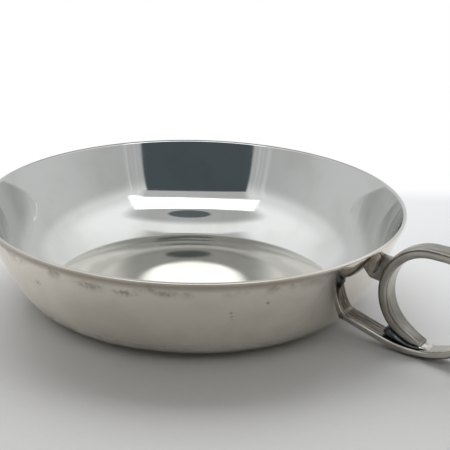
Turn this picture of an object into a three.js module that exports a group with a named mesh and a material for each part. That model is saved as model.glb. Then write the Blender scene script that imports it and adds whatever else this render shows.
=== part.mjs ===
// Wine taster: a raised silver bowl with a finger ring that is bent from one strip and soldered to the wall.
// Millimetres, +Z up. The origin is the middle of the foot, and the finger ring lies in the XZ plane, along +X.
import * as THREE from 'three';

const { degToRad, lerp } = THREE.MathUtils;

// Driving dimensions of the bowl
const RIM_DIAMETER = 96;
const BOWL_HEIGHT = 22;
const FOOT_DIAMETER = 59; // flat underside
const FLOOR_MARGIN = 3.3; // how far the flat inside floor reaches past the foot, out to its crease
const SHEET = 1.0; // thickness of the raised sheet
const RIM_FLARE = degToRad(23.6); // lean of the wall at the rim, from the vertical
const FOOT_LEAD = 9; // how far the lower corner runs on level past the foot
const CORNER_RISE = 3.4; // height to which the wall keeps the rim's lean before it turns in
const CREASE_BLEND = 2; // width of the short slope between the floor's crease and the wall

// Driving dimensions of the strip
const STRIP_THICKNESS = 2.5;
const TAIL_THICKNESS = 1.9; // the strip is hammered thinner towards its tail
const STRIP_WIDTH = 4.5;
const STRIP_EDGE = 0.45; // rounding of its long edges
const RING_BORE = 18; // of the ring's round near half
const RING_REACH = 14.5; // half length of the oval far half, at the strip's middle line
const RING_RUN = 2; // level run on top of the ring, between its two halves
const LOWEST_SETBACK = 2.6; // how far the lowest point lies nearer to the wall than the middle of the bore
const RING_STANDOFF = 2.2; // nearest gap between the ring and the wall
const TABLE_CLEARANCE = 0.2; // under the lowest point of the ring
const TAIL_SLOPE = degToRad(16.5); // climb of the straight tail towards the wall
const TAIL_BEND = 26; // bend radius between the ring and the straight tail
const TAIL_STANDOFF = 1.2; // from the cut end of the tail to the wall
const TIP_THICKNESS = 1.05; // of the thinned end that lies on the tail
const TIP_DROP = 0.9; // how far that end leaves the circle of the bore
const TIP_PAST = 1.5; // how far it runs on past the lowest point of the ring
const SCARF_GAP = 0.3; // between it and the tail

// Driving dimensions of the solder
const SEAM = 0.3; // clearance between solder and silver
const RIM_SOLDER_HEIGHT = 6;
const RIM_SOLDER_WIDTH = 3.6;
const RIM_SOLDER_MARGIN = 1.2; // below the rim's edge
const TAIL_SOLDER_WIDTH = 4.4;
const TAIL_FILLET_TOP = 1.6;
const TAIL_FILLET_UNDER = 0.9;
const CROTCH_SOLDER_LENGTH = 3.2;
const CROTCH_SOLDER_HOLLOW = 0.35; // how far its open side is drawn in
const CROTCH_SOLDER_WIDTH = 4.0;
const TIP_SOLDER_LENGTH = 2.4;
const TIP_SOLDER_HEIGHT = 1.0;
const TIP_SOLDER_WIDTH = 3.4;

// Fineness of the curves
const LATHE_SEGMENTS = 72;
const WALL_STEPS = 14;
const RIM_STEPS = 4;
const ARC_STEP = degToRad(7.5);
const SEAM_STEPS = 6;
const EDGE_STEPS = 3;

// Materials
const silver = new THREE.MeshStandardMaterial({ color: 0xcfccc6, roughness: 0.12, metalness: 1 });
const stripSilver = new THREE.MeshStandardMaterial({ color: 0xc4bfb4, roughness: 0.18, metalness: 1 });
const darkSolder = new THREE.MeshStandardMaterial({ color: 0x4a4846, roughness: 0.45, metalness: 1 });
const brightSolder = new THREE.MeshStandardMaterial({ color: 0xb8b3a8, roughness: 0.3, metalness: 1 });

// Plane geometry: x is the distance from the bowl's axis, y is the height

const point = (x, y) => new THREE.Vector2(x, y);
const polar = (centre, radius, angle) =>
  point(centre.x + radius * Math.cos(angle), centre.y + radius * Math.sin(angle));

function arc(centre, radius, from, to) {
  const steps = Math.max(1, Math.ceil(Math.abs(to - from) / ARC_STEP));
  return Array.from({ length: steps + 1 }, (_, i) => polar(centre, radius, from + ((to - from) * i) / steps));
}

// Where the line from a to b leaves a circle that holds a
function leaveCircle(a, b, centre, radius) {
  const along = b.clone().sub(a);
  const from = a.clone().sub(centre);
  const half = from.dot(along);
  const root = Math.sqrt(half * half - along.lengthSq() * (from.lengthSq() - radius * radius));
  return a.clone().addScaledVector(along, (root - half) / along.lengthSq());
}

function withoutRepeats(points) {
  const smallest = 1e-4;
  return points.filter((p, i) => p.distanceTo(points.at(i - 1)) > smallest);
}

// Bowl: the outer curve of the sheet, the rim's round edge and the inner curve

const footRadius = FOOT_DIAMETER / 2;
const rimRadius = SHEET / 2;
const wallTop = point(
  RIM_DIAMETER / 2 - rimRadius * (1 - Math.cos(RIM_FLARE)),
  BOWL_HEIGHT - rimRadius * (1 + Math.sin(RIM_FLARE)),
);
const outerCurve = new THREE.CubicBezierCurve(
  point(footRadius, 0),
  point(footRadius + FOOT_LEAD, 0),
  point(wallTop.x - (wallTop.y - CORNER_RISE) * Math.tan(RIM_FLARE), CORNER_RISE),
  wallTop,
);

// The wall's outer curve moved out by a gap, or in where the gap is negative
function wallLine(gap) {
  return Array.from({ length: WALL_STEPS + 1 }, (_, i) => {
    const tangent = outerCurve.getTangent(i / WALL_STEPS);
    return outerCurve.getPoint(i / WALL_STEPS).add(point(tangent.y, -tangent.x).multiplyScalar(gap));
  });
}

function wallAtHeight(height, gap) {
  const line = wallLine(gap);
  const i = line.findIndex((p, k) => k > 0 && p.y >= height);
  const [low, high] = [line[i - 1], line[i]];
  return low.clone().lerp(high, (height - low.y) / (high.y - low.y));
}

// Where a line from a point meets the wall moved out by a gap
function meetWall(from, direction, gap) {
  const line = wallLine(gap);
  const side = (p) => p.clone().sub(from).cross(direction);
  const i = line.findIndex((p, k) => k > 0 && side(p) * side(line[k - 1]) <= 0);
  const [low, high] = [line[i - 1], line[i]];
  return low.clone().lerp(high, side(low) / (side(low) - side(high)));
}

function bowlProfile() {
  const floorRadius = footRadius + FLOOR_MARGIN;
  const inner = wallLine(-SHEET).filter((p) => p.x > floorRadius + CREASE_BLEND);
  const rimCentre = wallTop.clone().lerp(inner.at(-1), 0.5);
  const rim = arc(rimCentre, rimRadius, -RIM_FLARE, Math.PI - RIM_FLARE).filter((_, i) => i % RIM_STEPS === 0);
  return withoutRepeats([
    point(0, 0),
    ...wallLine(0),
    ...rim,
    ...inner.reverse(),
    point(floorRadius, SHEET),
    point(0, SHEET),
  ]);
}

function makeBowl() {
  const geometry = new THREE.LatheGeometry(bowlProfile(), LATHE_SEGMENTS);
  geometry.rotateX(Math.PI / 2);
  return geometry;
}

// Ring and tail: places worked out from the bore, the wall and the table

const half = STRIP_THICKNESS / 2;
const tailHalf = TAIL_THICKNESS / 2;
const boreRadius = RING_BORE / 2;
const ringOuter = boreRadius + STRIP_THICKNESS;
const lowestMiddle = TABLE_CLEARANCE + tailHalf;
const ringHeight = lowestMiddle + tailHalf + boreRadius + SCARF_GAP + TIP_THICKNESS + TIP_DROP;
const reach = ringOuter + RING_STANDOFF;
const wallInReach = wallLine(0).filter((p) => Math.abs(ringHeight - p.y) < reach);
const standAt = (p) => p.x + Math.sqrt(reach ** 2 - (ringHeight - p.y) ** 2);
const nearestWall = wallInReach.reduce((best, p) => (standAt(p) > standAt(best) ? p : best));
const ringCentre = point(standAt(nearestWall), ringHeight);

// The far half of the ring is an oval, so that the strip passes under its own thinned end
const farMiddle = (ringHeight + boreRadius + half - lowestMiddle) / 2;
const farLean = (RING_RUN + LOWEST_SETBACK) / 2;
const farCentre = point(ringCentre.x + RING_RUN - farLean, lowestMiddle + farMiddle);
const bendCentre = point(ringCentre.x - LOWEST_SETBACK, lowestMiddle + TAIL_BEND);
const tailDirection = point(-Math.cos(TAIL_SLOPE), Math.sin(TAIL_SLOPE));
const down = -Math.PI / 2;
const up = Math.PI / 2;
const fullTurn = 2 * Math.PI;

// The far half's outer line (side 1) or inner line (side -1), moved away from the strip by a gap
function farLine(side, from, to, gap = 0) {
  const steps = Math.ceil(Math.abs(to - from) / ARC_STEP);
  return Array.from({ length: steps + 1 }, (_, i) => {
    const angle = from + ((to - from) * i) / steps;
    const halfHere = lerp(tailHalf, half, (angle - down) / (up - down));
    const { x, y } = polar(point(0, 0), 1, angle);
    const middle = point(x * RING_REACH + y * farLean, y * farMiddle).add(farCentre);
    const normal = point(x * farMiddle, y * RING_REACH - x * farLean).normalize();
    return middle.addScaledVector(normal, side * (halfHere + gap));
  });
}

// The tail's line at a distance above its middle, from the ring's lowest point to a gap before the wall
function tailLine(above, wallGap, past = 0) {
  const radius = TAIL_BEND - above;
  const start = down + Math.asin(past / radius);
  const bend = arc(bendCentre, radius, start, down - TAIL_SLOPE);
  return [...bend, meetWall(bend.at(-1), tailDirection, wallGap)];
}

// The part of that line under the ring's outer circle, and the point where it comes out
function underRing(line, radius) {
  const out = line.findIndex((p) => p.distanceTo(ringCentre) > radius);
  return [...line.slice(0, out), leaveCircle(line[out - 1], line[out], ringCentre, radius)];
}

const angleAtRing = (p) => Math.atan2(p.y - ringCentre.y, p.x - ringCentre.x) + fullTurn;

function stripOutline() {
  const scarf = underRing(tailLine(tailHalf + SCARF_GAP, TAIL_STANDOFF, TIP_PAST), ringOuter);
  const tipUp = bendCentre.clone().sub(scarf[0]).normalize();
  const tipTop = scarf[0].clone().addScaledVector(tipUp, TIP_THICKNESS);
  const tipTangent = angleAtRing(tipTop) - Math.acos(boreRadius / tipTop.distanceTo(ringCentre));
  return withoutRepeats([
    ...tailLine(-tailHalf, TAIL_STANDOFF).reverse(),
    ...farLine(1, down, up),
    ...arc(ringCentre, ringOuter, up, angleAtRing(scarf.at(-1))),
    ...scarf.reverse(),
    tipTop,
    ...arc(ringCentre, boreRadius, tipTangent, up),
    ...farLine(-1, up, down),
    ...tailLine(tailHalf, TAIL_STANDOFF),
  ]);
}

// A flat outline in the XZ plane, given a width along Y that is centred on the ring's plane
function plate(outline, width, edge = 0) {
  const geometry = new THREE.ExtrudeGeometry(new THREE.Shape(outline), {
    depth: width - 2 * edge,
    bevelEnabled: edge > 0,
    bevelThickness: edge,
    bevelSize: edge,
    bevelOffset: -edge,
    bevelSegments: EDGE_STEPS,
  });
  geometry.translate(0, 0, edge - width / 2);
  geometry.rotateX(Math.PI / 2);
  return geometry;
}

// Solder: each lump keeps the seam's clearance to the silver that it joins

function rimSolderOutline() {
  const top = Math.min(nearestWall.y + RIM_SOLDER_HEIGHT / 2, wallTop.y - RIM_SOLDER_MARGIN);
  const ringAt = (y) =>
    ringCentre.x - Math.sqrt((ringOuter + SEAM) ** 2 - (y - ringCentre.y) ** 2);
  const heights = Array.from(
    { length: SEAM_STEPS + 1 },
    (_, i) => top - (RIM_SOLDER_HEIGHT * i) / SEAM_STEPS,
  );
  const wallSide = heights.map((y) => wallAtHeight(y, SEAM));
  const ringSide = heights.map((y) => point(ringAt(y), y));
  return [...wallSide, ...ringSide.reverse()];
}

function tailSolderOutline() {
  const endGap = TAIL_STANDOFF - SEAM;
  const endTop = tailLine(tailHalf + SEAM, endGap).at(-1);
  const endUnder = tailLine(-tailHalf - SEAM, endGap).at(-1);
  const filletTop = endTop.clone().addScaledVector(tailDirection, -TAIL_FILLET_TOP);
  const filletUnder = endUnder.clone().addScaledVector(tailDirection, -TAIL_FILLET_UNDER);
  const highest = endTop.y + TAIL_FILLET_TOP;
  const lowest = endUnder.y - TAIL_FILLET_UNDER;
  const wallSide = Array.from({ length: SEAM_STEPS + 1 }, (_, i) =>
    wallAtHeight(highest - ((highest - lowest) * i) / SEAM_STEPS, SEAM),
  );
  return [...wallSide, filletUnder, endUnder, endTop, filletTop];
}

function crotchSolderOutline() {
  const radius = ringOuter + SEAM;
  const tailTop = tailLine(tailHalf + SEAM, TAIL_STANDOFF);
  const corner = underRing(tailTop, radius).at(-1);
  const cornerAngle = angleAtRing(corner);
  const ringSide = arc(ringCentre, radius, cornerAngle, cornerAngle - CROTCH_SOLDER_LENGTH / radius);
  const tailEnd = leaveCircle(corner, tailTop.at(-1), corner, CROTCH_SOLDER_LENGTH);
  const openSide = tailEnd.clone().lerp(ringSide.at(-1), 0.5);
  const inward = corner.clone().sub(openSide).normalize();
  return [...ringSide, openSide.addScaledVector(inward, CROTCH_SOLDER_HOLLOW), tailEnd];
}

function tipSolderOutline() {
  const onTail = tailLine(tailHalf + SEAM, TAIL_STANDOFF, TIP_PAST + SEAM)[0];
  const past = TIP_PAST + SEAM + TIP_SOLDER_LENGTH;
  const onRing = farLine(-1, down, down + past / RING_REACH, SEAM).at(-1);
  const top = onTail.clone().add(point(0, TIP_SOLDER_HEIGHT));
  return [onTail, onRing, top];
}

// Assembly

const taster = new THREE.Group();

function addPiece(name, geometry, material) {
  const mesh = new THREE.Mesh(geometry, material);
  mesh.name = name;
  taster.add(mesh);
}

addPiece('bowl', makeBowl(), silver);
addPiece('handle', plate(stripOutline(), STRIP_WIDTH, STRIP_EDGE), stripSilver);
addPiece('rim_solder', plate(rimSolderOutline(), RIM_SOLDER_WIDTH), darkSolder);
addPiece('tail_solder', plate(tailSolderOutline(), TAIL_SOLDER_WIDTH), darkSolder);
addPiece('crotch_solder', plate(crotchSolderOutline(), CROTCH_SOLDER_WIDTH), darkSolder);
addPiece('tip_solder', plate(tipSolderOutline(), TIP_SOLDER_WIDTH), brightSolder);

export default taster;
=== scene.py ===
import math

import bmesh
import bpy
from mathutils import Matrix, Vector, noise


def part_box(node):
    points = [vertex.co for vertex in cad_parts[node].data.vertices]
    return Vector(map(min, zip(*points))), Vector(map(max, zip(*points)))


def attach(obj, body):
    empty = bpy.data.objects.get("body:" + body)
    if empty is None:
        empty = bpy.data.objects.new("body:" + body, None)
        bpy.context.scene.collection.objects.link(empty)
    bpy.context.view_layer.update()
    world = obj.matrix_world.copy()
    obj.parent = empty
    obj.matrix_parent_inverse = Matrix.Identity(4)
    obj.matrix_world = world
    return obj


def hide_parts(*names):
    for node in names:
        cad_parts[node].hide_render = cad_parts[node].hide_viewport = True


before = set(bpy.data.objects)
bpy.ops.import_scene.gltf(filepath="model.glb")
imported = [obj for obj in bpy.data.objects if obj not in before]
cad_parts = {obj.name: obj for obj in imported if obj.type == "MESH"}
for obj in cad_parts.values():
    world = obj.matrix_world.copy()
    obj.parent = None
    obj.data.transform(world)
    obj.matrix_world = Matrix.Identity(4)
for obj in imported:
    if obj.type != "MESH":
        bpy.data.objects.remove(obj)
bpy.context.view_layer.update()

MM = 0.001
TINY = 1e-6

# Bowl, as in the solids
bowl_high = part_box("bowl")[1]
RIM_RADIUS = bowl_high.x / MM
BOWL_HEIGHT = bowl_high.z / MM
FOOT_RADIUS = 29.5
FOOT_LEAD = 9.0
CORNER_RISE = 3.4
SHEET = 1.0
RIM_FLARE = math.radians(23.6)

# Fine form of the bowl: a slight hollow under the foot and a rounded crease round the floor
FOOT_HOLLOW = 0.12
CREASE_RADIUS = 1.0
BOWL_SEGMENTS = 288

# Inside of the wall: its lean from the vertical is steady near the rim, then it rounds off to the floor
RIM_LEAN = math.radians(19.6)
CORNER_LEAN = math.radians(45.0)
CORNER_MIDDLE = 6.0
CORNER_SPREAD = 2.4

# Slight hand-made waves of the wall, which fade out at the foot
WAVE_DEPTH = 0.05
WAVE_SHIFT = 0.2
WAVE_FADE = (3.0, 16.0)
WAVES_ROUND = 1.3
WAVES_UP = 0.04

# Strip of the handle, after the solids. Only its width and reach differ, by 0.2 and 0.1 mm.
STRIP_THICKNESS = 2.5
TAIL_THICKNESS = 1.9
STRIP_WIDTH = 4.7
TIP_WIDTH = 3.3
TIP_THICKNESS = 1.05
TIP_DROP = 0.9
TIP_PAST = 1.5
SCARF_GAP = 0.3
BORE_RADIUS = 9.0
RING_REACH = 14.4
RING_RUN = 2.0
LOWEST_SETBACK = 2.6
RING_STANDOFF = 2.2
TABLE_CLEARANCE = 0.2
TAIL_SLOPE = math.radians(16.5)
TAIL_BEND = 26.0

# Fine form of the strip: soft corners, a hollow inner face, a rounded tip and a tail that runs into the wall
STRIP_POWER = 3.8
STRIP_HOLLOW = 0.14
HOLLOW_FADE = (1.0, 1.9)
TAPER = (0.86, 1.0)
TIP_ROUNDING = ((0.18, 0.93), (0.32, 0.75), (0.4, 0.4))
TAIL_SINK = 0.4
SECTION_POINTS = 64
TAIL_STEPS = 40
FAR_STEPS = 72
NEAR_STEPS = 96

# Tail: its top face darker by length along it, and grime under it near the wall
TAIL_TOP_DARKENING_FADE = (1.0, 4.0)
UNDER_GRIME = 0.5
UNDER_GRIME_LENGTH = 1.5

# Grime on the ring: on top by height, and by degrees round it beside the rim solder, at the crotch,
# on the inner face and at the tip
TOP_GRIME = 0.3
TOP_GRIME_FADE = (0.5, 0.9)
WEB_SOOT = 0.7
WEB_SOOT_START = (135.0, 150.0)
WEB_SOOT_END = (172.0, 188.0)
CROTCH_SOOT_START = (180.0, 222.0)
INNER_GRIME = 0.45
INNER_GRIME_START = (150.0, 205.0)
TIP_GRIME = 0.3
TIP_GRIME_START = (250.0, 262.0)
TIP_END_GRIME = (0.6, 1.0)

# Dark lines along the strip, at degrees round its section, each with its spread: the edge line is a painted
# dark reflection along the edges of the outer face, the inner lines lie on the inner face
EDGE_REFLECTION_LINE = (70.0, 10.0)
INNER_LINES = ((132.0, 10.0), (160.0, 5.0))
FACE_FADE = (0.1, 0.5)
FRONT_FADE = (-0.85, -0.25)
# Strength of the painted reflection line along the edge, of the inner lines, and the share of the grime that
# is left at the front
TAIL_DRAWING = (0.0, 1.0, 0.35)
RING_DRAWING = (1.0, 2.0, 1.0)

# Camera: pixels of the photograph's frame, distances in millimetres, clipping in metres
IMAGE_SIZE = 450
FOCAL_PIXELS = 1269.7
SENSOR_MM = 36.0
CLIP_START = 0.01
CLIP_END = 20.0
CAMERA_AZIMUTH = math.radians(34.5)
CAMERA_ELEVATION = math.radians(19.46)
CAMERA_DISTANCE = 288.0
CAMERA_TARGET = (0.0, 0.0, 21.9)
TARGET_PIXEL = (194.49, 200.81)
CAMERA_ROLL = math.radians(-0.86)

RIGHT = Vector((math.cos(CAMERA_AZIMUTH), math.sin(CAMERA_AZIMUTH), 0.0))
AWAY = Vector((-math.sin(CAMERA_AZIMUTH), math.cos(CAMERA_AZIMUTH), 0.0))

# Plane geometry: x is the distance from the bowl's axis, y is the height
DOWN = -math.pi / 2
UP = math.pi / 2


def polar(centre, radius, angle):
    return Vector((centre.x + radius * math.cos(angle), centre.y + radius * math.sin(angle)))


def mix(a, b, t):
    return a + (b - a) * t


def smooth_step(low, high, value):
    t = min(max((value - low) / (high - low), 0.0), 1.0)
    return t * t * (3.0 - 2.0 * t)


def signed_power(value, power):
    return math.copysign(abs(value) ** power, value)


def bell(value, middle, spread):
    return math.exp(-((value - middle) / spread) ** 2)


# Section of the bowl

WALL_TOP = Vector((
    RIM_RADIUS - SHEET / 2 * (1 - math.cos(RIM_FLARE)),
    BOWL_HEIGHT - SHEET / 2 * (1 + math.sin(RIM_FLARE)),
))
WALL_CONTROL = (
    Vector((FOOT_RADIUS, 0.0)),
    Vector((FOOT_RADIUS + FOOT_LEAD, 0.0)),
    Vector((WALL_TOP.x - (WALL_TOP.y - CORNER_RISE) * math.tan(RIM_FLARE), CORNER_RISE)),
    WALL_TOP,
)


def outer_wall(t):
    """Point on the curve of the wall's outside, from the foot (0) to the rim (1)."""
    a, b, c, d = WALL_CONTROL
    s = 1.0 - t
    return a * s ** 3 + b * 3 * s * s * t + c * 3 * s * t * t + d * t ** 3


OUTER_STEPS = 64
OUTER_LINE = [outer_wall(i / OUTER_STEPS) for i in range(OUTER_STEPS + 1)]


def wall_radius(height):
    """Radius of the wall's outside at a height."""
    for low, high in zip(OUTER_LINE, OUTER_LINE[1:]):
        if low.y <= height <= high.y:
            return mix(low.x, high.x, (height - low.y) / max(high.y - low.y, TINY))
    return WALL_TOP.x + (height - WALL_TOP.y) * math.tan(RIM_FLARE)


def inner_lean(height):
    return RIM_LEAN + CORNER_LEAN / (1.0 + math.exp((height - CORNER_MIDDLE) / CORNER_SPREAD))


def inner_line():
    """Inside of the wall from the rim down to the start of the crease."""
    steps = 110
    top = WALL_TOP + Vector((-math.cos(RIM_FLARE), math.sin(RIM_FLARE))) * SHEET
    end_lean = inner_lean(SHEET)
    drop = (top.y - SHEET - CREASE_RADIUS * (1 - math.sin(end_lean))) / steps
    line = [top]
    for _ in range(steps):
        last = line[-1]
        lean = inner_lean(last.y - drop / 2)
        line.append(Vector((last.x - drop * math.tan(lean), last.y - drop)))
    return line


def bowl_profile():
    """Points of the bowl's section, each with 0 to 1 for the outside and 0 to 1 for the floor."""
    inner = inner_line()
    rim_centre = (WALL_TOP + inner[0]) / 2
    rim_steps = 14
    rim = [
        polar(rim_centre, SHEET / 2, mix(-RIM_FLARE, math.pi - RIM_FLARE, i / rim_steps))
        for i in range(1, rim_steps)
    ]
    end_lean = inner_lean(SHEET)
    crease_centre = inner[-1] + Vector((-math.cos(end_lean), math.sin(end_lean))) * CREASE_RADIUS
    crease_steps = 8
    crease = [
        polar(crease_centre, CREASE_RADIUS, mix(-end_lean, DOWN, i / crease_steps))
        for i in range(1, crease_steps + 1)
    ]
    edge = crease[-1].x
    floor_steps = 14
    floor_radii = [edge - inset for inset in (0.1, 0.3, 0.8)]
    floor_radii += [edge * (1 - i / floor_steps) for i in range(1, floor_steps + 1)]
    foot_steps = 10
    foot = [
        Vector((FOOT_RADIUS * i / foot_steps, FOOT_HOLLOW * (1 - (i / foot_steps) ** 4)))
        for i in range(foot_steps)
    ]
    rows = [(p, 1.0, 0.0) for p in (*foot, *OUTER_LINE)]
    rows += [(p, 1.0 - (i + 1) / rim_steps, 0.0) for i, p in enumerate(rim)]
    rows += [(p, 0.0, 0.0) for p in inner]
    rows += [(p, 0.0, (i + 1) / crease_steps) for i, p in enumerate(crease)]
    rows += [(Vector((radius, SHEET)), 0.0, 1.0) for radius in floor_radii]
    return rows


def wall_unevenness(p, angle):
    """Shift of a point of the wall by the hand-made waves."""
    strength = WAVE_DEPTH * smooth_step(*WAVE_FADE, p.y)
    place = Vector((math.cos(angle) * WAVES_ROUND, math.sin(angle) * WAVES_ROUND, p.y * WAVES_UP))
    return strength * (noise.noise(place) - WAVE_SHIFT)


# Meshes


def add_object(name, bm, material, smooth=True):
    mesh = bpy.data.meshes.new(name)
    bmesh.ops.recalc_face_normals(bm, faces=bm.faces)
    bm.to_mesh(mesh)
    bm.free()
    for polygon in mesh.polygons:
        polygon.use_smooth = smooth
    mesh.materials.append(material)
    piece = bpy.data.objects.new(name, mesh)
    bpy.context.scene.collection.objects.link(piece)
    return piece


def lathe(rows, segments, bend):
    """Turned skin through the rows' points, with the rows' marks as point attributes."""
    bm = bmesh.new()
    outside = bm.verts.layers.float.new("outside")
    floor = bm.verts.layers.float.new("floor")
    rings = []
    for p, outside_mark, floor_mark in rows:
        ring = []
        for i in range(segments if p.x > TINY else 1):
            angle = 2 * math.pi * i / segments
            radius = p.x + bend(p, angle)
            vert = bm.verts.new(Vector((radius * math.cos(angle), radius * math.sin(angle), p.y)) * MM)
            vert[outside] = outside_mark
            vert[floor] = floor_mark
            ring.append(vert)
        rings.append(ring)
    for low, high in zip(rings, rings[1:]):
        for i in range(segments):
            j = i + 1
            corners = (low[i % len(low)], low[j % len(low)], high[j % len(high)], high[i % len(high)])
            unique = list(dict.fromkeys(corners))
            if len(unique) > 2:
                bm.faces.new(unique)
    return bm


def loft(sections, marks=None):
    """Closed skin over rings of points that have the same count, capped at both ends.
    Marks, one for each point, become the point attribute grime_and_reflection, which holds grime and a
    painted dark reflection line."""
    bm = bmesh.new()
    grime_and_reflection = bm.verts.layers.float.new("grime_and_reflection")
    rings = []
    for i, section in enumerate(sections):
        ring = [bm.verts.new(p * MM) for p in section]
        for vert, mark in zip(ring, marks[i] if marks else [0.0] * len(ring)):
            vert[grime_and_reflection] = mark
        rings.append(ring)
    count = len(rings[0])
    for low, high in zip(rings, rings[1:]):
        for i in range(count):
            j = (i + 1) % count
            bm.faces.new((low[i], low[j], high[j], high[i]))
    for ring in (rings[0], rings[-1]):
        middle = bm.verts.new(sum((v.co for v in ring), Vector()) / count)
        middle[grime_and_reflection] = ring[0][grime_and_reflection]
        for i in range(count):
            bm.faces.new((ring[i], ring[(i + 1) % count], middle))
    return bm


# Handle: the strip as stations along its length, each with an inner and an outer point

HALF_STRIP = STRIP_THICKNESS / 2
HALF_TAIL = TAIL_THICKNESS / 2
RING_OUTER = BORE_RADIUS + STRIP_THICKNESS
RING_STAND = RING_OUTER + RING_STANDOFF
LOWEST_MIDDLE = TABLE_CLEARANCE + HALF_TAIL
RING_HEIGHT = LOWEST_MIDDLE + HALF_TAIL + BORE_RADIUS + SCARF_GAP + TIP_THICKNESS + TIP_DROP


def stand_at(p):
    """Distance from the axis at which the ring's middle keeps its stand-off from a point of the wall."""
    rise = RING_HEIGHT - p.y
    return p.x + math.sqrt(RING_STAND ** 2 - rise ** 2) if abs(rise) < RING_STAND else 0.0


RING_CENTRE = Vector((max(stand_at(p) for p in OUTER_LINE), RING_HEIGHT))
FAR_MIDDLE = (RING_HEIGHT + BORE_RADIUS + HALF_STRIP - LOWEST_MIDDLE) / 2
FAR_LEAN = (RING_RUN + LOWEST_SETBACK) / 2
FAR_CENTRE = Vector((RING_CENTRE.x + RING_RUN - FAR_LEAN, LOWEST_MIDDLE + FAR_MIDDLE))
BEND_CENTRE = Vector((RING_CENTRE.x - LOWEST_SETBACK, LOWEST_MIDDLE + TAIL_BEND))
TAIL_ALONG = Vector((-math.cos(TAIL_SLOPE), math.sin(TAIL_SLOPE)))


def tail_point(along, above):
    """Point at a length along the tail from the ring's lowest point, at a distance above its middle."""
    turn = min(along / TAIL_BEND, TAIL_SLOPE)
    straight = max(along - TAIL_SLOPE * TAIL_BEND, 0.0)
    return polar(BEND_CENTRE, TAIL_BEND - above, DOWN - turn) + TAIL_ALONG * straight


def tail_length():
    """Length of the tail's middle line up to the wall."""
    step = 0.05
    along = TAIL_SLOPE * TAIL_BEND
    while tail_point(along, 0.0).x > wall_radius(tail_point(along, 0.0).y):
        along += step
    return along


TAIL_LENGTH = tail_length()
TIP_LOW = tail_point(-TIP_PAST, HALF_TAIL + SCARF_GAP)
TIP_TOP = TIP_LOW + (BEND_CENTRE - TIP_LOW).normalized() * TIP_THICKNESS


def ring_angle(p):
    return math.atan2(p.y - RING_CENTRE.y, p.x - RING_CENTRE.x) % (2 * math.pi)


TIP_ANGLE = ring_angle((TIP_LOW + TIP_TOP) / 2)
TIP_TANGENT = ring_angle(TIP_TOP) - math.acos(BORE_RADIUS / (TIP_TOP - RING_CENTRE).length)


def scarf_radius(angle):
    """Distance from the ring's middle to the line just above the tail, found by halving."""
    halvings = 40
    low, high = 4.0, 20.0
    for _ in range(halvings):
        radius = (low + high) / 2
        p = polar(RING_CENTRE, radius, angle)
        if (p - BEND_CENTRE).length < TAIL_BEND - HALF_TAIL - SCARF_GAP:
            low = radius
        else:
            high = radius
    return low


def tail_station(i):
    along = mix(TAIL_LENGTH + TAIL_SINK, 0.0, i / TAIL_STEPS)
    # Top face darker, fading in away from the ring's lowest point
    top = smooth_step(*TAIL_TOP_DARKENING_FADE, along)
    under = UNDER_GRIME * smooth_step(TAIL_LENGTH - UNDER_GRIME_LENGTH, TAIL_LENGTH, along)
    return tail_point(along, HALF_TAIL), tail_point(along, -HALF_TAIL), top, under


def far_station(i):
    angle = mix(DOWN, UP, i / FAR_STEPS)
    x, y = math.cos(angle), math.sin(angle)
    middle = FAR_CENTRE + Vector((x * RING_REACH + y * FAR_LEAN, y * FAR_MIDDLE))
    normal = Vector((x * FAR_MIDDLE, y * RING_REACH - x * FAR_LEAN)).normalized()
    reach = mix(HALF_TAIL, HALF_STRIP, i / FAR_STEPS)
    top = TOP_GRIME * smooth_step(*TOP_GRIME_FADE, y)
    return middle - normal * reach, middle + normal * reach, 0.0, top


def near_station(i):
    angle = mix(UP, TIP_ANGLE, i / NEAR_STEPS)
    inner = BORE_RADIUS
    if angle > TIP_TANGENT:
        inner = BORE_RADIUS / math.cos(angle - TIP_TANGENT)
    outer = min(RING_OUTER, scarf_radius(angle))
    degrees = math.degrees(angle)
    web = WEB_SOOT * smooth_step(*WEB_SOOT_START, degrees) * (1 - smooth_step(*WEB_SOOT_END, degrees))
    soot = max(TOP_GRIME, web, smooth_step(*CROTCH_SOOT_START, degrees))
    inside = INNER_GRIME * smooth_step(*INNER_GRIME_START, degrees)
    inside += TIP_GRIME * smooth_step(*TIP_GRIME_START, degrees)
    return polar(RING_CENTRE, inner, angle), polar(RING_CENTRE, outer, angle), inside, soot


def strip_stations():
    """Inner point, outer point, and grime on the inner and the outer face, from the wall along the tail,
    round the ring and to the tip."""
    stations = [tail_station(i) for i in range(TAIL_STEPS)]
    stations += [far_station(i) for i in range(FAR_STEPS + 1)]
    stations += [near_station(i) for i in range(NEAR_STEPS + 1)]
    return stations


def oblong(inner, outer, width, hollow=0.0):
    """Ring of points: a soft-cornered oblong between two points, with a hollow inner face."""
    middle = (outer + inner) / 2
    reach = (outer - inner) / 2
    points = []
    for i in range(SECTION_POINTS):
        angle = 2 * math.pi * i / SECTION_POINTS
        across = signed_power(math.cos(angle), 2 / STRIP_POWER)
        wide = signed_power(math.sin(angle), 2 / STRIP_POWER)
        p = middle + reach * across
        if across < 0:
            p += reach.normalized() * hollow * (1 - wide * wide)
        points.append(Vector((p.x, width / 2 * wide, p.y)))
    return points


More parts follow.
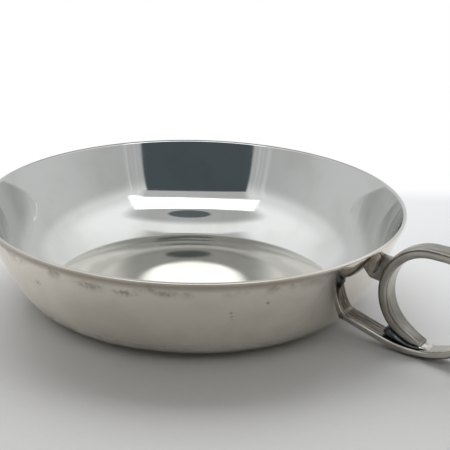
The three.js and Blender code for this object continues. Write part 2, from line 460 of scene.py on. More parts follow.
def oblong_marks(inner_mark, outer_mark, edge_mark=0.0, line_mark=0.0, front=1.0):
    """Grime on the inner and the outer face, with thin dark lines along the strip: a painted dark reflection
    along the edges of the outer face, and lines on the inner face. Front is the share of the grime that is
    left towards the strip's front."""
    marks = []
    for i in range(SECTION_POINTS):
        angle = 2 * math.pi * i / SECTION_POINTS
        c, s = math.cos(angle), math.sin(angle)
        mark = inner_mark * smooth_step(*FACE_FADE, -c) + outer_mark * smooth_step(*FACE_FADE, c)
        mark *= mix(front, 1.0, smooth_step(*FRONT_FADE, s))
        degrees = abs(math.degrees(math.atan2(s, c)))
        # Painted dark reflection along the edges of the outer face
        edge = edge_mark * bell(degrees, *EDGE_REFLECTION_LINE)
        lines = line_mark * inner_mark * max(bell(degrees, *line) for line in INNER_LINES)
        marks.append(min(max(mark, edge, lines), 1.0))
    return marks


def strip_skin():
    """Rings round the strip from the wall to its tip, which gets narrower and is rounded off."""
    stations = strip_stations()
    last = len(stations) - 1
    sections = []
    marks = []
    for i, (inner, outer, inner_mark, outer_mark) in enumerate(stations):
        width = mix(STRIP_WIDTH, TIP_WIDTH, smooth_step(*TAPER, i / last))
        hollow = STRIP_HOLLOW * smooth_step(*HOLLOW_FADE, (outer - inner).length)
        sections.append(oblong(inner, outer, width, hollow))
        drawing = TAIL_DRAWING if i < TAIL_STEPS else RING_DRAWING
        marks.append(oblong_marks(inner_mark, outer_mark, *drawing))
    inner, outer = stations[-1][:2]
    ahead = (stations[-1][1] - stations[-2][1]).normalized()
    for shift, size in TIP_ROUNDING:
        middle = (inner + outer) / 2 + ahead * shift
        reach = (outer - inner) / 2 * size
        sections.append(oblong(middle - reach, middle + reach, TIP_WIDTH * (1 + size) / 2))
        marks.append(oblong_marks(*TIP_END_GRIME))
    return sections, marks


# Solder: the four lumps, in millimetres. The values named rough are the depth and the scale of their noise.

# Web at the rim, which sinks into the wall and the ring, has a waist, and slants aside at the wall
RIM_WEB_HEIGHTS = (14.0, 20.2)
RIM_WEB_WALL_SINK = 0.35
RIM_WEB_RING_SINK = 0.5
RIM_WEB_HALF_WIDTH = 1.25
RIM_WEB_END_WIDTH = 0.12
RIM_WEB_WALL_SHARE = 0.5
RIM_WEB_WAIST = 0.2
RIM_WEB_SLANT = 1.1
RIM_WEB_ROUGH = (0.18, 0.8)

# Collar at the wall end of the tail
COLLAR_SKIN = 0.03
COLLAR_FLARE = 0.3
COLLAR_POWER = 2.4
COLLAR_SINK = 0.6
COLLAR_LENGTH = 1.3
COLLAR_UNDER = 0.7
COLLAR_ASIDE = 0.6
COLLAR_ROUGH = (0.06, 1.1)

# Fill in the crotch between the ring and the tail
FILL_START = 7.6
FILL_END = 0.2
FILL_SINK = 0.2
FILL_TALLEST = 2.2
FILL_OVERLAP = 0.5
FILL_INSET = (0.75, 0.3)
FILL_INSET_FADE = (0.0, 0.25)
FILL_NOSE = 0.6
FILL_NOSE_FADE = (0.0, 0.1)
FILL_ROUGH = (0.05, 0.9)

# Bead at the tip
BEAD_START = 0.25
BEAD_LENGTH = 2.4
BEAD_SINK = 0.15
BEAD_HEIGHTS = (1.15, 0.2)
BEAD_POWER = 0.8
BEAD_MIDDLE = 0.45
BEAD_HALF_WIDTHS = (1.75, 1.2)
BEAD_ROUGH = (0.1, 1.7)


def solder_ring(middle, across, half_across, half_wide):
    """Oval ring of points round a middle point in the ring's plane."""
    steps = 28
    points = []
    for i in range(steps):
        angle = 2 * math.pi * i / steps
        p = middle + across * (half_across * math.cos(angle))
        points.append(Vector((p.x, half_wide * math.sin(angle), p.y)))
    return points


def roughen(sections, amount, scale):
    """The sections with their points moved in and out by noise."""
    rough = []
    for section in sections:
        middle = sum(section, Vector()) / len(section)
        rough.append([p + (p - middle).normalized() * amount * noise.noise(p * scale) for p in section])
    return rough


def rim_solder_sections():
    """Upright web between the wall and the ring, waisted between the two and slanting aside at the wall."""
    sections = []
    steps = 16
    points = 36
    for i in range(steps + 1):
        t = 2 * i / steps - 1
        height = mix(*RIM_WEB_HEIGHTS, i / steps)
        near = wall_radius(height) - RIM_WEB_WALL_SINK
        ring_reach = math.sqrt(RING_OUTER ** 2 - (height - RING_CENTRE.y) ** 2)
        far = RING_CENTRE.x - ring_reach + RIM_WEB_RING_SINK
        wide = RIM_WEB_HALF_WIDTH * math.sqrt(1 - abs(t) ** 5) + RIM_WEB_END_WIDTH
        section = []
        for k in range(points):
            angle = 2 * math.pi * k / points
            u = signed_power(math.cos(angle), 0.5)
            v = signed_power(math.sin(angle), 0.5)
            out = (u + 1) / 2
            waist = mix(RIM_WEB_WALL_SHARE, 1.0, out) - RIM_WEB_WAIST * (1 - u * u)
            aside = mix(RIM_WEB_SLANT, 0.0, out)
            section.append(Vector((mix(near, far, out), aside + v * wide * waist, height)))
        sections.append(section)
    return roughen(sections, *RIM_WEB_ROUGH)


def tail_solder_sections():
    """Thin collar round the end of the tail, flared where it meets the wall."""
    sections = []
    steps = 10
    for i in range(steps + 1):
        t = i / steps
        spread = COLLAR_SKIN + COLLAR_FLARE * (1 - t) ** COLLAR_POWER
        along = TAIL_LENGTH + COLLAR_SINK - COLLAR_LENGTH * t
        inner = tail_point(along, HALF_TAIL + spread)
        outer = tail_point(along, -HALF_TAIL - spread * COLLAR_UNDER)
        sections.append(oblong(inner, outer, STRIP_WIDTH + 2 * spread * COLLAR_ASIDE))
    return roughen(sections, *COLLAR_ROUGH)


def crotch_solder_sections():
    """Fill between the ring and the tail, from the open wedge to the tip."""
    sections = []
    steps = 30
    climb = 0.05
    for i in range(steps + 1):
        t = i / steps
        along = mix(FILL_START, FILL_END - TIP_PAST, t)
        low = tail_point(along, HALF_TAIL - FILL_SINK)
        up = (BEND_CENTRE - low).normalized()
        gap = 0.0
        while (low + up * gap - RING_CENTRE).length > RING_OUTER - FILL_SINK and gap < FILL_TALLEST:
            gap += climb
        gap = max(gap, SCARF_GAP + FILL_OVERLAP)
        wide = STRIP_WIDTH / 2 - mix(*FILL_INSET, smooth_step(*FILL_INSET_FADE, t))
        tall = gap / 2 * mix(FILL_NOSE, 1.0, smooth_step(*FILL_NOSE_FADE, t))
        sections.append(solder_ring(low + up * (gap / 2), up, tall, wide))
    return roughen(sections, *FILL_ROUGH)


def tip_solder_sections():
    """Small bright bead at the cut end of the strip."""
    sections = []
    steps = 10
    for i in range(steps + 1):
        t = i / steps
        low = tail_point(BEAD_START - TIP_PAST - BEAD_LENGTH * t, HALF_TAIL - BEAD_SINK)
        up = (BEND_CENTRE - low).normalized()
        tall = mix(*BEAD_HEIGHTS, t ** BEAD_POWER)
        sections.append(solder_ring(low + up * tall * BEAD_MIDDLE, up, tall / 2, mix(*BEAD_HALF_WIDTHS, t)))
    return roughen(sections, *BEAD_ROUGH)


# Node helpers


class Graph:
    """A node tree with short calls for making and joining nodes."""

    def __init__(self, tree):
        self.tree = tree
        tree.nodes.clear()

    def node(self, kind, inputs=None, **settings):
        made = self.tree.nodes.new(kind)
        for key, value in settings.items():
            setattr(made, key, value)
        for key, value in (inputs or {}).items():
            self.set(made.inputs[key], value)
        return made

    def set(self, socket, value):
        """Join a socket to another one, or set its value. Colours are written without alpha."""
        if isinstance(value, bpy.types.NodeSocket):
            self.tree.links.new(value, socket)
        elif socket.type == "RGBA":
            socket.default_value = (*value, 1.0)
        else:
            socket.default_value = value

    def math(self, operation, a, b=0.0):
        return self.node("ShaderNodeMath", {0: a, 1: b}, operation=operation).outputs[0]

    def product(self, first, *others):
        result = first
        for other in others:
            result = self.math("MULTIPLY", result, other)
        return result

    def vector(self, operation, *inputs):
        made = self.node("ShaderNodeVectorMath", dict(enumerate(inputs)), operation=operation)
        return made.outputs["Vector"]

    def length(self, vector):
        return self.node("ShaderNodeVectorMath", {0: vector}, operation="LENGTH").outputs["Value"]

    def dot(self, a, b):
        return self.node("ShaderNodeVectorMath", {0: a, 1: b}, operation="DOT_PRODUCT").outputs["Value"]

    def remap(self, value, low, high, to_low=0.0, to_high=1.0, kind="SMOOTHSTEP"):
        made = self.node(
            "ShaderNodeMapRange",
            {"Value": value, "From Min": low, "From Max": high, "To Min": to_low, "To Max": to_high},
            interpolation_type=kind,
        )
        return made.outputs["Result"]

    def fade(self, value, low, high):
        """1 below the low value and 0 above the high one."""
        return self.remap(value, low, high, 1.0, 0.0)

    def blend(self, factor, a, b, **settings):
        made = self.node("ShaderNodeMix", **settings)
        for key, value in (("Factor", factor), ("A", a), ("B", b)):
            self.set(made.inputs[key], value)
        return made.outputs["Result"]

    def mix_colour(self, factor, a, b, kind="MIX"):
        return self.blend(factor, a, b, data_type="RGBA", blend_type=kind)

    def mix_value(self, factor, a, b):
        return self.blend(factor, a, b, data_type="FLOAT")

    def mix_shader(self, factor, a, b):
        return self.node("ShaderNodeMixShader", {0: factor, 1: a.outputs[0], 2: b.outputs[0]})

    def noise(self, vector, scale, detail, roughness=0.55):
        made = self.node(
            "ShaderNodeTexNoise",
            {"Vector": vector, "Scale": scale, "Detail": detail, "Roughness": roughness},
        )
        return made.outputs["Fac"]

    def drawn_noise(self, vector, stretch, scale, detail, roughness):
        """Noise drawn out along one way, for fine wiping marks."""
        drawn = self.node("ShaderNodeMapping", {"Vector": vector, "Scale": stretch}).outputs[0]
        return self.noise(drawn, scale, detail, roughness)

    def place(self):
        return self.node("ShaderNodeTexCoord").outputs["Object"]

    def attribute(self, name):
        return self.node("ShaderNodeAttribute", attribute_name=name).outputs["Fac"]

    def bump(self, strength, distance, height):
        made = self.node("ShaderNodeBump", {"Strength": strength, "Distance": distance, "Height": height})
        return made.outputs[0]

    def metal(self, tint, rough, normal):
        """Bare metal as the surface of the material."""
        shader = self.node(
            "ShaderNodeBsdfPrincipled",
            {"Base Color": tint, "Metallic": 1.0, "Roughness": rough, "Normal": normal},
        )
        self.node("ShaderNodeOutputMaterial", {"Surface": shader.outputs[0]})


def new_material(name):
    material = bpy.data.materials.new(name)
    material.use_nodes = True
    return material, Graph(material.node_tree)


# Silver of the bowl: pairs of colours are polished and clouded, or middle and sides for the floor

WHITE = (1.0, 1.0, 1.0)
BLACK = (0.0, 0.0, 0.0)
INNER_COLOURS = ((0.72, 0.725, 0.712), (0.672, 0.672, 0.65))
FLOOR_COLOURS = ((0.60, 0.585, 0.53), (0.72, 0.705, 0.655))
OUTER_COLOURS = ((0.94, 0.895, 0.815), (0.86, 0.81, 0.725))
STAIN_AND_SHADOW_COLOUR = (0.27, 0.205, 0.14)
MARK_COLOUR = (0.22, 0.17, 0.125)
FAR_RIM_SHADE_COLOUR = (0.10, 0.095, 0.09)

CLOUDS = (70.0, 4.0)
INNER_CLOUDS = (0.45, 0.7)
OUTER_CLOUDS = (0.4, 0.7)
CLOUD_RANGE = (0.3, 0.7)
WIPING = ((1.0, 1.0, 0.3), 900.0, 4.0, 0.7)
WIPING_STRENGTH = 0.015
WIPING_DEPTH = 0.00002

# Floor: the patina by distance to the side, and a faint ring of tarnish by distance from the middle
PATINA_RANGE = (0.008, 0.028)
PATINA_WANDER = 0.004
TARNISH = 0.2
TARNISH_START = (0.021, 0.0235)
TARNISH_END = (0.0253, 0.0278)
TARNISH_WANDER = 0.001

# Outside: its worn side, and by height the brown stains and a brown line under the rim, which is stain and
# painted shade
WORN_SIDE = -AWAY * 0.9 - RIGHT * 0.43
STAIN_AND_SHADOW_SIDE = (0.1, 0.75)
BLOTCHES = (170.0, 5.0, 0.6)
BLOTCH_RANGE = (0.44, 0.68)
STAINS = 0.8
STAIN_HEIGHTS = (0.0172, 0.0212)
RIM_STAIN_AND_SHADOW_LINE = 0.65
RIM_STAIN_AND_SHADOW_LINE_HEIGHTS = (0.0194, 0.0212)
# Painted shade: a dark line along the rim's crest, fading in towards the far side of the bowl
FAR_RIM_SHADE_RANGE = (0.02, 0.14)
FAR_RIM_SHADE_SIDE = (0.1, 0.7)
FAR_RIM_SHADE_DARKNESS = 0.6

# Roughness of the inside and the outside
SMEARS = (200.0, 5.0)
INNER_ROUGHNESS = (0.4, 0.75, 0.04, 0.075)
OUTER_ROUGHNESS = (0.35, 0.75, 0.05, 0.09)
FLOOR_ROUGHNESS = 0.045
WORN_ROUGHNESS = 0.38
WORN_RANGE = (0.36, 0.62)
WORN_HEIGHTS = (0.001, 0.009, 0.3, 1.0)

# Marks on the outside: degrees round the bowl, height and size in millimetres, strength
MARKS = (
    (-36.6, 16.1, 0.5, 0.8), (-45.9, 14.2, 0.5, 0.4), (-45.6, 13.2, 0.5, 0.45), (-45.3, 12.3, 0.4, 0.3),
    (-99.9, 15.2, 0.9, 0.5), (-81.1, 18.8, 2.2, 0.5), (-72.2, 18.5, 1.7, 0.55), (-62.1, 19.3, 1.6, 0.45),
)
SMALL_MARK = 1.0
SMEAR = (0.6, 0.6, 1.7)
MARK_START = 0.6
MARK_END = 1.7
MARK_WOBBLE = (900.0, 4.0, 0.65)
MARK_BREAKS = (1100.0, 3.0)
MARK_BREAK_RANGE = (0.38, 0.58, 0.25, 1.0)


def inner_tint(g, place, cloud, floor):
    """Colour of the inside: a clouded wall, and a floor with patina and a faint ring of tarnish."""
    wall = g.mix_colour(g.remap(cloud, *INNER_CLOUDS), *INNER_COLOURS)
    aside = g.math("ABSOLUTE", g.dot(place, tuple(RIGHT)))
    aside = g.math("ADD", aside, g.remap(cloud, *CLOUD_RANGE, -PATINA_WANDER, PATINA_WANDER))
    bottom = g.mix_colour(g.remap(aside, *PATINA_RANGE), *FLOOR_COLOURS)
    reach = g.remap(cloud, *CLOUD_RANGE, -TARNISH_WANDER, TARNISH_WANDER)
    reach = g.math("ADD", g.length(place), reach)
    ring = g.product(g.remap(reach, *TARNISH_START), g.fade(reach, *TARNISH_END), TARNISH)
    return g.mix_colour(floor, wall, g.mix_colour(ring, bottom, BLACK))


def mark_strength(g, place, degrees, height, size, strength):
    """Strength of one ragged mark, smeared sideways if it isn't small."""
    angle = math.radians(degrees)
    radius = wall_radius(height)
    middle = Vector((radius * math.cos(angle), radius * math.sin(angle), height)) * MM
    apart = g.vector("SUBTRACT", place, tuple(middle))
    if size > SMALL_MARK:
        apart = g.vector("MULTIPLY", apart, SMEAR)
    wobble = g.product(g.noise(place, *MARK_WOBBLE), size * MM)
    reach = g.math("ADD", g.length(apart), wobble)
    spot = g.remap(reach, size * MARK_START * MM, size * MARK_END * MM, strength, 0.0)
    return g.product(spot, g.remap(g.noise(place, *MARK_BREAKS), *MARK_BREAK_RANGE))


def outer_tint(g, place, height, cloud, worn_way):
    """Colour of the outside: clouded, with brown stains, a brown line under the rim of stain and painted
    shade, and single marks.
    """
    tint = g.mix_colour(g.remap(cloud, *OUTER_CLOUDS), *OUTER_COLOURS)
    facing = g.remap(worn_way, *STAIN_AND_SHADOW_SIDE)
    blotches = g.remap(g.noise(place, *BLOTCHES), *BLOTCH_RANGE)
    stains = g.product(g.remap(height, *STAIN_HEIGHTS), facing, blotches, STAINS)
    # Brown line under the rim: stain, and painted shade under the rim's edge
    line = g.product(g.remap(height, *RIM_STAIN_AND_SHADOW_LINE_HEIGHTS), facing, RIM_STAIN_AND_SHADOW_LINE)
    tint = g.mix_colour(g.math("MAXIMUM", stains, line), tint, STAIN_AND_SHADOW_COLOUR)
    for mark in MARKS:
        tint = g.mix_colour(mark_strength(g, place, *mark), tint, MARK_COLOUR)
    return tint


def bowl_roughness(g, place, height, outside, floor, worn_way):
    """Smeared polish, duller on the floor and on the worn side of the outside."""
    smear = g.noise(place, *SMEARS)
    inner = g.math("ADD", g.remap(smear, *INNER_ROUGHNESS), g.product(floor, FLOOR_ROUGHNESS))
    worn = g.product(g.remap(worn_way, *WORN_RANGE), g.remap(height, *WORN_HEIGHTS), WORN_ROUGHNESS)
    outer = g.math("ADD", g.remap(smear, *OUTER_ROUGHNESS), worn)
    return g.mix_value(outside, inner, outer)


def bowl_material():
    material, g = new_material("bowl_silver")
    place = g.place()
    height = g.node("ShaderNodeSeparateXYZ", {"Vector": place}).outputs["Z"]
    outside = g.attribute("outside")
    floor = g.attribute("floor")
    cloud = g.noise(place, *CLOUDS)
    round_way = g.vector("NORMALIZE", g.vector("MULTIPLY", place, (1.0, 1.0, 0.0)))
    worn_way = g.dot(round_way, tuple(WORN_SIDE))
    inner = inner_tint(g, place, cloud, floor)
    outer = outer_tint(g, place, height, cloud, worn_way)
    tint = g.mix_colour(outside, inner, outer)
    # Painted shade on the rim's crest, strongest on the far side
    rim_crest_shade = g.remap(g.product(outside, g.math("SUBTRACT", 1.0, outside)), *FAR_RIM_SHADE_RANGE)
    far_side = g.remap(g.dot(round_way, tuple(AWAY)), *FAR_RIM_SHADE_SIDE, 0.0, FAR_RIM_SHADE_DARKNESS)
    tint = g.mix_colour(g.product(rim_crest_shade, far_side), tint, FAR_RIM_SHADE_COLOUR)
    rough = bowl_roughness(g, place, height, outside, floor, worn_way)
    g.metal(tint, rough, g.bump(WIPING_STRENGTH, WIPING_DEPTH, g.drawn_noise(place, *WIPING)))
    return material


# Silver of the strip: clean and clouded, with soot where the mesh has grime, and a painted dark reflection
# line along the edges in the same colours

STRIP_COLOURS = ((0.50, 0.48, 0.435), (0.39, 0.36, 0.31))
SOOT_AND_REFLECTION_COLOURS = ((0.045, 0.043, 0.04), (0.20, 0.17, 0.135))
STRIP_CLOUDS = (160.0, 4.0)
STRIP_CLOUD_RANGE = (0.42, 0.7)
STRIP_WIPING = ((0.25, 3.0, 0.25), 700.0, 4.0, 0.7)
SOOT_AND_REFLECTION_RANGE = (0.44, 0.62)
STRIP_ROUGHNESS = (0.35, 0.7, 0.12, 0.19)
STRIP_SCRATCHES = (0.55, 0.75, 0.0, 0.05)
SOOT_ROUGHNESS = 0.32
STRIP_BUMP = 0.2
STRIP_BUMP_DEPTH = 0.00006


def strip_material():
    material, g = new_material("strip_silver")
    place = g.place()
    grime_and_reflection = g.attribute("grime_and_reflection")
    cloud = g.noise(place, *STRIP_CLOUDS)
    fine = g.drawn_noise(place, *STRIP_WIPING)
    tint = g.mix_colour(g.remap(cloud, *STRIP_CLOUD_RANGE), *STRIP_COLOURS)
    # Soot colours, also used for the painted dark reflection line
    soot = g.mix_colour(g.remap(fine, *SOOT_AND_REFLECTION_RANGE), *SOOT_AND_REFLECTION_COLOURS)
    shine = g.math("ADD", g.remap(cloud, *STRIP_ROUGHNESS), g.remap(fine, *STRIP_SCRATCHES))
    rough = g.mix_value(grime_and_reflection, shine, SOOT_ROUGHNESS)
    g.metal(g.mix_colour(grime_and_reflection, tint, soot), rough, g.bump(STRIP_BUMP, STRIP_BUMP_DEPTH, fine))
    return material


# Metal of the solders: colour of the lumps and between them, roughness, strength of the bump

RIM_SOLDER_LOOK = ((0.62, 0.61, 0.605), (0.36, 0.355, 0.355), 0.34, 0.2)
TAIL_SOLDER_LOOK = ((0.36, 0.34, 0.30), (0.16, 0.14, 0.115), 0.24, 0.2)
CROTCH_SOLDER_LOOK = ((0.15, 0.175, 0.18), (0.05, 0.064, 0.068), 0.46, 0.25)
TIP_SOLDER_LOOK = ((0.88, 0.86, 0.82), (0.55, 0.52, 0.47), 0.16, 0.3)
LUMPS = (600.0, 4.0, 0.55)
LUMP_RANGE = (0.36, 0.66)
GRAIN = (3600.0, 3.0, 0.6)
GRAIN_RANGE = (0.3, 0.7)
GRAIN_HEIGHT = 0.15
ROUGHNESS_SPREAD = 0.2
LUMP_DEPTH = 0.00015

# Beside the wall the rim solder is smoother and has a colour of its own, by the distance from the wall's line
BESIDE_WALL_COLOUR = (0.55, 0.54, 0.545)
BESIDE_WALL_ROUGHNESS = 0.12
WALL_FOOT = WALL_TOP.x - WALL_TOP.y * math.tan(RIM_FLARE)
BESIDE_WALL = ((WALL_FOOT + 0.3) * MM, (WALL_FOOT + 1.3) * MM)


def solder_material(name, colour, between, roughness, lump, beside_wall=None):
    """Lumpy solder. Beside the wall it may take a colour of its own."""
    material, g = new_material(name)
    place = g.place()
    lumps = g.noise(place, *LUMPS)
    grain = g.noise(place, *GRAIN)
    tint = g.mix_colour(g.remap(lumps, *LUMP_RANGE), between, colour)
    smooth = roughness * (1 - ROUGHNESS_SPREAD)
    coarse = roughness * (1 + ROUGHNESS_SPREAD)
    rough = g.remap(grain, *GRAIN_RANGE, smooth, coarse)
    if beside_wall:
        near_wall = g.fade(g.dot(place, (1.0, 0.0, -math.tan(RIM_FLARE))), *BESIDE_WALL)
        tint = g.mix_colour(near_wall, tint, beside_wall)
        rough = g.mix_value(near_wall, rough, BESIDE_WALL_ROUGHNESS)
    height = g.math("ADD", lumps, g.product(grain, GRAIN_HEIGHT))
    g.metal(tint, rough, g.bump(lump, LUMP_DEPTH, height))
    return material


# Pieces


def finish_piece(piece, node):
    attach(piece, "root")
    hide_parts(node)


silver = bowl_material()
strip_silver = strip_material()
rim_metal = solder_material("rim_solder_metal", *RIM_SOLDER_LOOK, BESIDE_WALL_COLOUR)
tail_metal = solder_material("tail_solder_metal", *TAIL_SOLDER_LOOK)
crotch_metal = solder_material("crotch_solder_metal", *CROTCH_SOLDER_LOOK)
tip_metal = solder_material("tip_solder_metal", *TIP_SOLDER_LOOK)

bowl = add_object("taster_bowl", lathe(bowl_profile(), BOWL_SEGMENTS, wall_unevenness), silver)
finish_piece(bowl, "bowl")

handle = add_object("taster_handle", loft(*strip_skin()), strip_silver)
finish_piece(handle, "handle")

for name, sections, material, node, slot in (
    ("solder_rim", rim_solder_sections(), rim_metal, "rim_solder", "dark_solder"),
    ("solder_tail", tail_solder_sections(), tail_metal, "tail_solder", "dark_solder"),
    ("solder_crotch", crotch_solder_sections(), crotch_metal, "crotch_solder", "dark_solder"),
    ("solder_tip", tip_solder_sections(), tip_metal, "tip_solder", "bright_solder"),
):
    finish_piece(add_object(name, loft(sections), material), node)


# Floor: a pale board that turns white behind the object, by the distance behind the bowl's middle. Its colour
# holds painted shading: darker in front of the bowl, lighter towards the back.

FLOOR_HALF = 4.0
SPECKLES = (700.0, 4.0)
SPECKLE_BUMP = 0.1
SPECKLE_DEPTH = 0.0002
BOARD_ROUGHNESS = 0.7
SHADED_NEAR_COLOURS = ((0.69, 0.686, 0.674), (0.73, 0.726, 0.714))
LIT_MIDDLE_COLOUR = (0.78, 0.785, 0.795)
MIDDLE_START = (-0.06, -0.005)
LIT_FAR_COLOUR = (0.84, 0.86, 0.875)
FAR_START = (0.0, 0.08)
WHITE_START = (0.063, 0.077)


def floor_material():
    material, g = new_material("pale_floor")
    place = g.place()
    behind = g.dot(place, tuple(AWAY))
    speckle = g.noise(place, *SPECKLES)
    base = g.mix_colour(speckle, *SHADED_NEAR_COLOURS)
    # Painted shading: the board's colour is darker in front and lighter behind
    base = g.mix_colour(g.remap(behind, *MIDDLE_START), base, LIT_MIDDLE_COLOUR)
    base = g.mix_colour(g.remap(behind, *FAR_START), base, LIT_FAR_COLOUR)
    board = g.node(
        "ShaderNodeBsdfPrincipled",
        {
            "Base Color": base,
            "Roughness": BOARD_ROUGHNESS,
            "Normal": g.bump(SPECKLE_BUMP, SPECKLE_DEPTH, speckle),
        },
    )
    white = g.node("ShaderNodeEmission", {"Color": WHITE, "Strength": 1.0})
    path = g.node("ShaderNodeLightPath")
    seen = g.math("MAXIMUM", path.outputs["Is Camera Ray"], path.outputs["Is Glossy Ray"])
    seen = g.math("MAXIMUM", seen, path.outputs["Is Transmission Ray"])
    both = g.mix_shader(g.product(g.remap(behind, *WHITE_START), seen), board, white)
    g.node("ShaderNodeOutputMaterial", {"Surface": both.outputs[0]})
    return material


floor_bm = bmesh.new()
bmesh.ops.create_grid(floor_bm, x_segments=2, y_segments=2, size=FLOOR_HALF)
floor = add_object("floor", floor_bm, floor_material(), smooth=False)


# World: a soft light tent that is open towards the camera, laid out in degrees

# Cloth: its level by the turn from the front to the back, then higher up, then near the top
SIDE_LEVELS = (40.0, 100.0, 0.51, 0.67)
UPPER_RISE = (22.0, 34.0)
UPPER_LEVEL = 0.88
TOP_RISE = (34.0, 52.0)
TOP_TURN = (105.0, 140.0, 1.0, 0.6)
TOP_LEVEL = 1.12

# Panels across the tent: start, end and softness over it, half width and its softness
DIM_BACK_PANEL = (98.0, 134.0, 2.0, 15.0, 4.0)
DIM_BACK_LEVEL = 0.52
TOP_PANEL = (88.6, 98.0, 1.2, 20.0, 4.0)
TOP_PANEL_LEVEL = 1.05
DIM_FRONT_PANEL = (36.0, 46.5, 0.7, 30.0, 2.5)
DIM_FRONT_LEVEL = 0.57

# Ovals: middle over and off, half sizes, power of the outline and softness
SHADE_OVAL = (72.5, 0.0, 16.8, 29.0, 3.0, 0.6)
SHADE_LEVEL = 0.52
DARK_OVALS = ((76.0, 2.0, 6.2, 8.8), (102.0, 2.0, 2.6, 6.5))
DARK_COLOUR = (0.12, 0.144, 0.15)

# Light strip above the opening: a tilted lower edge, a bent upper edge, and ends that narrow upwards
LIGHT_LEVEL = 2.6
LIGHT_TILT = 0.065
LIGHT_START = (46.0, 48.0)
LIGHT_BOW = 0.004
LIGHT_END = (65.4, 67.4)
LIGHT_HALF_LENGTH = (47.0, 68.0, 37.0, 28.0)
LIGHT_SIDE_SOFT = 1.5

# Opening towards the camera, with folds of brighter cloth beyond its sides
OPENING_COLOUR = (0.076, 0.096, 0.107)
OPENING_TOP = (36.2, 37.4)
OPENING_SHIFT = 1.2
OPENING_HALF_WIDTH = (20.0, 36.0, 33.0, 29.1)
OPENING_SIDE_SOFT = 0.7
FOLDS = (1.0, 11.0, 2.0)
FOLD_STRENGTH = (20.0, 44.0, 0.15, 0.75)
FOLD_TOP = (45.0, 47.0)
FOLD_STRETCH = 6.0
FOLD_NOISE = (0.9, 2.0)
FOLD_NOISE_RANGE = (0.5, 0.62)
FOLD_LEVEL = 0.98
CLOTH_COLOUR = (0.985, 1.0, 1.005)

# Light of the tent on the matt floor, weaker from the front and low down
DOME_OVER = (55.0, 125.0, 0.05, 1.0)
DOME_RISE = (0.0, 45.0, 0.75, 1.0)
DOME_STRENGTH = 0.70


class Tent(Graph):
    """Node tree of the world with the angles that lay out the tent: over runs from the front horizon up and
    over to the back, off goes to the right, turn goes round from the front, and rise goes up."""

    def __init__(self, tree):
        super().__init__(tree)
        ray = self.node("ShaderNodeTexCoord").outputs["Generated"]
        self.side = self.dot(ray, tuple(RIGHT))
        front = self.dot(ray, tuple(-AWAY))
        height = self.dot(ray, (0.0, 0.0, 1.0))
        self.over = self.degrees("ARCTAN2", height, front)
        self.off = self.degrees("ARCSINE", self.side)
        self.spread = self.math("ABSOLUTE", self.off)
        self.turn = self.degrees("ARCTAN2", self.math("ABSOLUTE", self.side), front)
        self.rise = self.degrees("ARCSINE", height)
        shifted = self.math("ABSOLUTE", self.math("ADD", self.off, OPENING_SHIFT))
        self.beyond = self.math("SUBTRACT", shifted, self.remap(self.over, *OPENING_HALF_WIDTH, "LINEAR"))

    def degrees(self, operation, a, b=0.0):
        return self.math("DEGREES", self.math(operation, a, b))

    def window(self, value, low, high, soft):
        """1 between two values, with soft ends."""
        return self.product(
            self.remap(value, low - soft, low + soft),
            self.fade(value, high - soft, high + soft),
        )

    def panel(self, start, end, soft, width, width_soft):
        """1 on a panel across the tent."""
        across = self.fade(self.spread, width - width_soft, width + width_soft)
        return self.product(self.window(self.over, start, end, soft), across)

    def oval(self, over, off, half_over, half_off, power=2.0, soft=0.2):
        """1 inside an oval."""
        terms = []
        for value, middle, half in ((self.over, over, half_over), (self.off, off, half_off)):
            apart = self.math("ABSOLUTE", self.math("SUBTRACT", value, middle))
            terms.append(self.math("POWER", self.math("DIVIDE", apart, half), power))
        return self.fade(self.math("ADD", *terms), 1.0 - soft, 1.0 + soft)

    def light_strip(self):
        tilted = self.math("ADD", self.over, self.product(self.off, LIGHT_TILT))
        bent = self.math("SUBTRACT", self.over, self.product(self.off, self.off, LIGHT_BOW))
        past_end = self.math("SUBTRACT", self.spread, self.remap(self.over, *LIGHT_HALF_LENGTH, "LINEAR"))
        ends = self.fade(past_end, -LIGHT_SIDE_SOFT, LIGHT_SIDE_SOFT)
        return self.product(self.remap(tilted, *LIGHT_START), self.fade(bent, *LIGHT_END), ends)

    def folds(self):
        """Uneven folds of cloth beyond the sides of the opening."""
        strength = self.product(self.window(self.beyond, *FOLDS), self.remap(self.over, *FOLD_STRENGTH))
        drawn = self.product(self.side, FOLD_STRETCH)
        cloth = self.node("ShaderNodeCombineXYZ", {"X": self.beyond, "Y": drawn}).outputs[0]
        ripple = self.remap(self.noise(cloth, *FOLD_NOISE), *FOLD_NOISE_RANGE)
        return self.product(strength, self.fade(self.over, *FOLD_TOP), ripple)

    def opening(self):
        sides = self.fade(self.beyond, -OPENING_SIDE_SOFT, OPENING_SIDE_SOFT)
        return self.product(self.fade(self.over, *OPENING_TOP), sides)

    def level(self):
        """Brightness of the tent, each layer over the one before."""
        level = self.remap(self.turn, *SIDE_LEVELS)
        for share, brightness in (
            (self.remap(self.rise, *UPPER_RISE), UPPER_LEVEL),
            (self.product(self.remap(self.rise, *TOP_RISE), self.remap(self.turn, *TOP_TURN)), TOP_LEVEL),
            (self.panel(*DIM_BACK_PANEL), DIM_BACK_LEVEL),
            (self.panel(*TOP_PANEL), TOP_PANEL_LEVEL),
            (self.oval(*SHADE_OVAL), SHADE_LEVEL),
            (self.light_strip(), LIGHT_LEVEL),
            (self.panel(*DIM_FRONT_PANEL), DIM_FRONT_LEVEL),
            (self.folds(), FOLD_LEVEL),
        ):
            level = self.mix_value(share, level, brightness)
        return level


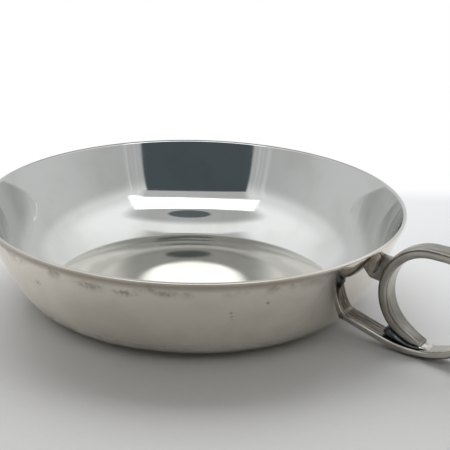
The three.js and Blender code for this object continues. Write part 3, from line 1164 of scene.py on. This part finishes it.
def build_world():
    world = bpy.data.worlds.new("light_tent")
    bpy.context.scene.world = world
    world.use_nodes = True
    tent = Tent(world.node_tree)
    colour = tent.mix_colour(1.0, tent.level(), CLOTH_COLOUR, "MULTIPLY")
    colour = tent.mix_colour(tent.opening(), colour, OPENING_COLOUR)
    for oval in DARK_OVALS:
        colour = tent.mix_colour(tent.oval(*oval), colour, DARK_COLOUR)
    dome = tent.product(tent.remap(tent.over, *DOME_OVER), tent.remap(tent.rise, *DOME_RISE))
    mirrored = tent.node("ShaderNodeBackground", {"Color": colour, "Strength": 1.0})
    soft = tent.node("ShaderNodeBackground", {"Color": dome, "Strength": DOME_STRENGTH})
    plain = tent.node("ShaderNodeBackground", {"Color": WHITE, "Strength": 1.0})
    path = tent.node("ShaderNodeLightPath")
    light = tent.mix_shader(path.outputs["Is Diffuse Ray"], mirrored, soft)
    both = tent.mix_shader(path.outputs["Is Camera Ray"], light, plain)
    tent.node("ShaderNodeOutputWorld", {"Surface": both.outputs[0]})


build_world()


# Lamp, in metres and watts

LAMP_WIDTH = 0.6
LAMP_DEPTH = 0.35
LAMP_POWER = 1.9
LAMP_BEHIND = 0.28
LAMP_HEIGHT = 0.43


def back_lamp():
    """Wide soft lamp above and behind, so that the shadow falls towards the camera."""
    data = bpy.data.lights.new("back_lamp", "AREA")
    data.shape = "RECTANGLE"
    data.size = LAMP_WIDTH
    data.size_y = LAMP_DEPTH
    data.energy = LAMP_POWER
    lamp = bpy.data.objects.new("back_lamp", data)
    bpy.context.scene.collection.objects.link(lamp)
    lamp.location = AWAY * LAMP_BEHIND + Vector((0.0, 0.0, LAMP_HEIGHT))
    lamp.rotation_mode = "QUATERNION"
    lamp.rotation_quaternion = lamp.location.to_track_quat("Z", "Y")
    lamp.visible_camera = False
    lamp.visible_glossy = False


back_lamp()


# Camera


def build_camera():
    """Camera at the photograph's place, turned so that its target falls on the target's pixel."""
    data = bpy.data.cameras.new("photo_camera")
    data.sensor_width = SENSOR_MM
    data.lens = FOCAL_PIXELS * SENSOR_MM / IMAGE_SIZE
    data.clip_start = CLIP_START
    data.clip_end = CLIP_END
    camera = bpy.data.objects.new("photo_camera", data)
    bpy.context.scene.collection.objects.link(camera)
    target = Vector(CAMERA_TARGET)
    way_back = -AWAY * math.cos(CAMERA_ELEVATION) + Vector((0, 0, math.sin(CAMERA_ELEVATION)))
    place = target + way_back * CAMERA_DISTANCE
    forward = (target - place).normalized()
    base = Matrix((RIGHT, RIGHT.cross(forward), forward))
    dx = TARGET_PIXEL[0] - IMAGE_SIZE / 2
    dy = IMAGE_SIZE / 2 - TARGET_PIXEL[1]
    cr, sr = math.cos(CAMERA_ROLL), math.sin(CAMERA_ROLL)
    aim = Vector((cr * dx + sr * dy, cr * dy - sr * dx, FOCAL_PIXELS)).normalized()
    yaw = math.atan2(aim.x, aim.z)
    pitch = math.asin(aim.y)
    cy, sy = math.cos(yaw), math.sin(yaw)
    cp, sp = math.cos(pitch), math.sin(pitch)
    pan = Matrix(((cy, 0, sy), (0, 1, 0), (-sy, 0, cy)))
    tilt = Matrix(((1, 0, 0), (0, cp, sp), (0, -sp, cp)))
    roll = Matrix(((cr, -sr, 0), (sr, cr, 0), (0, 0, 1)))
    right, up, ahead = roll @ pan @ tilt @ base
    turned = Matrix((right, up, -ahead)).transposed().to_4x4()
    camera.matrix_world = Matrix.Translation(place * MM) @ turned
    bpy.context.scene.camera = camera


build_camera()
bpy.context.scene.view_settings.view_transform = "Standard"

# Reflections in a row at the rim come out black with fewer bounces
GLOSSY_BOUNCES = 10
bpy.context.scene.cycles.glossy_bounces = GLOSSY_BOUNCES

bpy.context.view_layer.update()
